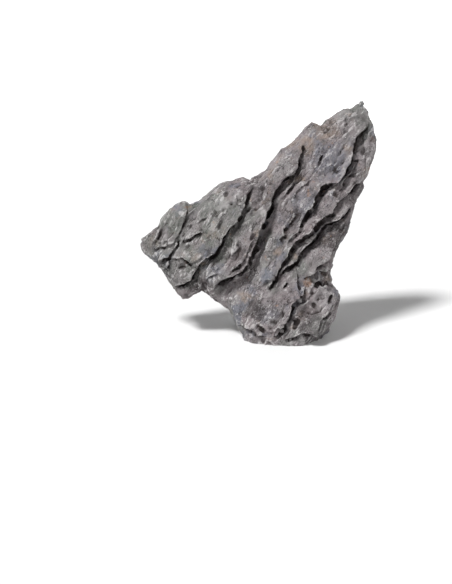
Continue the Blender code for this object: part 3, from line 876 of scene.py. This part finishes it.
def stoneFinish():
    rule = stoneFinishing
    material = bpy.data.materials.new("layeredGreyStone")
    material.use_nodes = True
    tree = material.node_tree
    shader = tree.nodes["Principled BSDF"]
    shader.inputs["Roughness"].default_value = rule["roughness"]
    shader.inputs["Specular IOR Level"].default_value = rule["specular"]
    here = tree.nodes.new("ShaderNodeTexCoord").outputs["Object"]
    toLayers = Matrix(layerAxes().tolist()) @ faceToWorld.to_3x3().inverted()
    turned = put(tree, "ShaderNodeMapping", {"Vector": here, "Rotation": toLayers.to_euler()})
    place = put(tree, "ShaderNodeMapping", {"Vector": here, "Scale": (1 / mm,) * 3}).outputs[0]
    lay = put(tree, "ShaderNodeMapping", {"Vector": turned.outputs[0], "Scale": (1 / mm,) * 3}).outputs[0]
    crest = put(tree, "ShaderNodeAttribute", attribute_name="crest").outputs["Fac"]
    swell = put(tree, "ShaderNodeAttribute", attribute_name="swell").outputs["Fac"]

    def patches(size, detail=3.0, stretch=(1.0, 1.0, 1.0), at=(0.0, 0.0, 0.0), source=None):
        fitted = put(tree, "ShaderNodeMapping", {
            "Vector": source or lay, "Location": at, "Scale": tuple(1 / (size * s) for s in stretch)})
        return put(tree, "ShaderNodeTexNoise", {
            "Vector": fitted.outputs[0], "Scale": 1.0, "Detail": detail,
            "Roughness": rule["patchRoughness"]}).outputs[0]

    def share(value, low, high, most=1.0):
        return calc(tree, "MULTIPLY", ramp(tree, value, low, high), most)

    def both(one, other):
        return calc(tree, "MULTIPLY", one, other)

    long = (1.7, 1.0, 0.6)
    across = put(tree, "ShaderNodeSeparateXYZ", {0: place}).outputs[0]
    warmer = ramp(tree, across, *rule["warmAcross"])
    warmth = calc(tree, "MULTIPLY_ADD", warmer, rule["warmShift"], patches(rule["warmSize"], 2.0))
    tone = mixed(tree, share(warmth, *rule["warmRange"]), stoneColours["green"], stoneColours["mauve"])
    for name, size, at, limits, most in groundPatches:
        tone = mixed(tree, share(patches(size, at=at), *limits, most), tone, stoneColours[name])

    onFace = put(tree, "ShaderNodeMapping", {
        "Vector": here, "Rotation": faceToWorld.to_3x3().inverted().to_euler(), "Scale": (1 / mm,) * 3})
    x, y, z = put(tree, "ShaderNodeSeparateXYZ", {0: onFace.outputs[0]}).outputs
    flat = put(tree, "ShaderNodeCombineXYZ", {0: x, 1: y}).outputs[0]
    origin = faceToWorld.inverted().translation / mm
    inFront = ramp(tree, z, -origin.z, rule["frontOnly"] - origin.z)
    wide, narrow = rule["raggedSizes"]
    most, less = rule["raggedShares"]
    ragged = calc(tree, "MULTIPLY_ADD", patches(wide, 4.0, at=(8, 3, 3)), most, rule["raggedShift"])
    ragged = calc(tree, "MULTIPLY_ADD", patches(narrow, 3.0, long, (1, 3, 8)), less, ragged)
    for name, (atX, atY), radius, strength in frontMarks:
        away = put(tree, "ShaderNodeVectorMath", {0: flat, 1: (atX - origin.x, atY - origin.y, 0.0)},
                   operation="DISTANCE").outputs["Value"]
        reach = calc(tree, "ADD", calc(tree, "DIVIDE", away, radius), ragged)
        mark = both(ramp(tree, reach, *rule["markRange"]), inFront)
        tone = mixed(tree, both(mark, strength), tone, stoneColours[name])

    mottle = patches(rule["mottleSize"], 5.0, long, (1, 5, 2))
    tone = mixed(tree, share(mottle, *rule["mottlePale"]), tone, stoneColours["pale"])
    tone = mixed(tree, share(mottle, *rule["mottleDark"]), tone, stoneColours["dark"])
    rusty = patches(rule["rustSize"], at=(2, 8, 4))
    tone = mixed(tree, share(rusty, *rule["rustRange"]), tone, stoneColours["rust"])
    # Worn crests: pale edge wear, which also serves as a painted highlight on the lips of the ledges
    wearAndHighlight = both(ramp(tree, crest, *rule["wearAndHighlightRange"]),
                ramp(tree, patches(rule["wearAndHighlightSize"]), *rule["wearAndHighlightPatches"]))
    tone = mixed(tree, both(wearAndHighlight, rule["wearAndHighlightShare"]), tone, stoneColours["chalk"])

    gritty = ramp(tree, patches(rule["gritAreas"], 2.0, at=(6, 6, 1)), *rule["gritAreaRange"])
    grit = patches(rule["gritSize"], 2.0, (1.4, 1.0, 1.0), (4, 4, 4))
    tone = mixed(tree, both(ramp(tree, grit, *rule["gritDark"]), gritty), tone, stoneColours["dark"])
    tone = mixed(tree, both(ramp(tree, grit, *rule["gritPale"]), gritty), tone, stoneColours["pale"])
    flecked = ramp(tree, patches(rule["fleckAreas"], at=(7, 3, 9)), *rule["fleckAreaRange"])
    flecks = ramp(tree, patches(rule["fleckSize"], 3.0, (2.4, 1.0, 1.0)), *rule["fleckRange"])
    tone = mixed(tree, both(both(flecks, flecked), rule["fleckShare"]), tone, stoneColours["chalk"])

    fitted = vec(tree, "DIVIDE", lay, rule["seamCells"])
    bends = put(tree, "ShaderNodeTexNoise", {"Vector": fitted, "Scale": 2.0, "Detail": 3.0})
    bend = vec(tree, "SCALE", bends.outputs["Color"])
    bend.node.inputs["Scale"].default_value = rule["seamBend"]
    seams = put(tree, "ShaderNodeTexVoronoi", {"Vector": vec(tree, "ADD", fitted, bend), "Scale": 1.0},
                feature="DISTANCE_TO_EDGE").outputs["Distance"]
    seam = both(ramp(tree, seams, *rule["seamWidth"]),
                ramp(tree, patches(rule["seamAreas"], at=(2, 2, 7)), *rule["seamAreaRange"]))
    tone = mixed(tree, both(seam, rule["seamShare"]), tone, stoneColours["soilAndShade"])
    # Painted shade: darkens crevices and wide hollows towards near black
    recessShade = ramp(tree, crest, *rule["creviceShade"])
    recessShade = calc(tree, "ADD", recessShade, ramp(tree, swell, *rule["hollowShade"]))
    tone = mixed(tree, calc(tree, "MINIMUM", recessShade, rule["mostRecessShade"]), tone, stoneColours["soilAndShade"])
    tree.links.new(tone, shader.inputs["Base Color"])

    even, layered = rule["bumpSizes"]
    fine = calc(tree, "ADD", patches(even, 4.0, source=place), patches(layered, 4.0, (2.5, 1.0, 0.5)))
    fine = calc(tree, "SUBTRACT", fine, seam)
    bump = put(tree, "ShaderNodeBump", {
        "Height": fine, "Strength": rule["bumpStrength"], "Distance": rule["bumpHeight"] * mm})
    tree.links.new(bump.outputs[0], shader.inputs["Normal"])
    return material


def makeStone():
    finish = stoneFinish()
    mesh = outlineSlab()
    print("blank:", len(mesh.vertices), "points")
    giveForm(mesh)
    mesh = remeshed(mesh, stoneForm["fineVoxel"])
    calmWalls(mesh, stoneForm["calmTurns"])
    print("ledges cut:", len(mesh.vertices), "points")
    breakLayers(mesh)
    mesh = remeshed(mesh, stoneForm["fineVoxel"])
    mesh = withNodes(mesh, brokenLayers(finish), fineRelief)
    mesh = thinned(mesh, stoneForm["triangles"])
    mesh = withoutCrumbs(mesh)
    mesh.transform(faceToWorld)
    mesh = cutFoot(mesh)
    mesh = withNodes(mesh, crestAndHollowMarks(finish), crestAndHollowBlurs)
    mesh.shade_smooth()
    mesh.set_sharp_from_angle(angle=math.radians(stoneForm["sharpAngle"]))
    stone = placed("dragonStone", mesh)
    print("stone made:", len(mesh.polygons), "faces")
    return stone


stone = makeStone()
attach(stone, "root")
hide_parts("stone")


# A pale floor that turns up into a wall all round
studio = {
    "floorRadius": 1.9,
    "bend": 0.6,
    "wallTop": 1.5,
    "bendSteps": 10,
    "turnSteps": 96,
    "weld": 0.0001,
    "colour": (0.80, 0.80, 0.80),
    "roughness": 0.9,
    "glowFrom": 0.9,
    "glowTo": 2.6,
    "wallGlow": 0.35,
    "sky": 0.06,
}


def makeStudio():
    profile = [(0.0, 0.0)]
    for step in range(studio["bendSteps"] + 1):
        turn = math.pi / 2 * step / studio["bendSteps"]
        profile.append((studio["floorRadius"] + studio["bend"] * math.sin(turn),
                        studio["bend"] * (1 - math.cos(turn))))
    profile.append((studio["floorRadius"] + studio["bend"], studio["wallTop"]))
    mesh = bpy.data.meshes.new("studioFloor")
    mesh.from_pydata([(x, 0, z) for x, z in profile], [(i, i + 1) for i in range(len(profile) - 1)], [])
    floor = placed("studioFloor", mesh)
    turned = floor.modifiers.new("turned", "SCREW")
    turned.steps = turned.render_steps = studio["turnSteps"]
    turned.use_merge_vertices = True
    turned.merge_threshold = studio["weld"]
    paint = bpy.data.materials.new("palePaint")
    paint.use_nodes = True
    shader = paint.node_tree.nodes["Principled BSDF"]
    shader.inputs["Base Color"].default_value = (*studio["colour"], 1)
    shader.inputs["Roughness"].default_value = studio["roughness"]
    shader.inputs["Emission Color"].default_value = (1, 1, 1, 1)
    place = paint.node_tree.nodes.new("ShaderNodeTexCoord").outputs["Object"]
    away = put(paint.node_tree, "ShaderNodeVectorMath", {0: place}, operation="LENGTH").outputs["Value"]
    glow = ramp(paint.node_tree, away, studio["glowFrom"], studio["glowTo"], 0.0, studio["wallGlow"])
    paint.node_tree.links.new(glow, shader.inputs["Emission Strength"])
    mesh.materials.append(paint)
    world = bpy.data.worlds.new("sky")
    world.use_nodes = True
    world.node_tree.nodes["Background"].inputs["Color"].default_value = (1, 1, 1, 1)
    world.node_tree.nodes["Background"].inputs["Strength"].default_value = studio["sky"]
    bpy.context.scene.world = world


# Soft lamps, far off: where each shines from, how wide it looks in degrees, and its strength
lamps = {
    "key": {"from": (-0.42, -0.40, 0.88), "wide": 13.0, "strength": 3.8},
    "fill": {"from": (0.80, -0.75, 0.55), "wide": 60.0, "strength": 0.08},
}


def makeLamps():
    for name, lamp in lamps.items():
        light = bpy.data.lights.new(name, "SUN")
        light.angle = math.radians(lamp["wide"])
        light.energy = lamp["strength"]
        placed(name, light).rotation_euler = Vector(lamp["from"]).to_track_quat("Z", "Y").to_euler()


# The camera looks straight at the leaning face, at a point of it given in mm
cameraSettings = {
    "facePoint": (-64.0, 53.0),
    "distance": 1.2,
    "frameHeight": 584.0,
    "sensor": 36.0,
}


def makeCamera():
    data = bpy.data.cameras.new("photoCamera")
    data.sensor_width = cameraSettings["sensor"]
    data.lens = data.sensor_width * cameraSettings["distance"] / (cameraSettings["frameHeight"] * mm)
    camera = placed("photoCamera", data)
    x, y = cameraSettings["facePoint"]
    camera.matrix_world = faceToWorld @ Matrix.Translation((x * mm, y * mm, cameraSettings["distance"]))
    bpy.context.scene.camera = camera


makeStudio()
makeLamps()
makeCamera()
bpy.context.scene.view_settings.view_transform = "Standard"
print("studio, lamps and camera set")
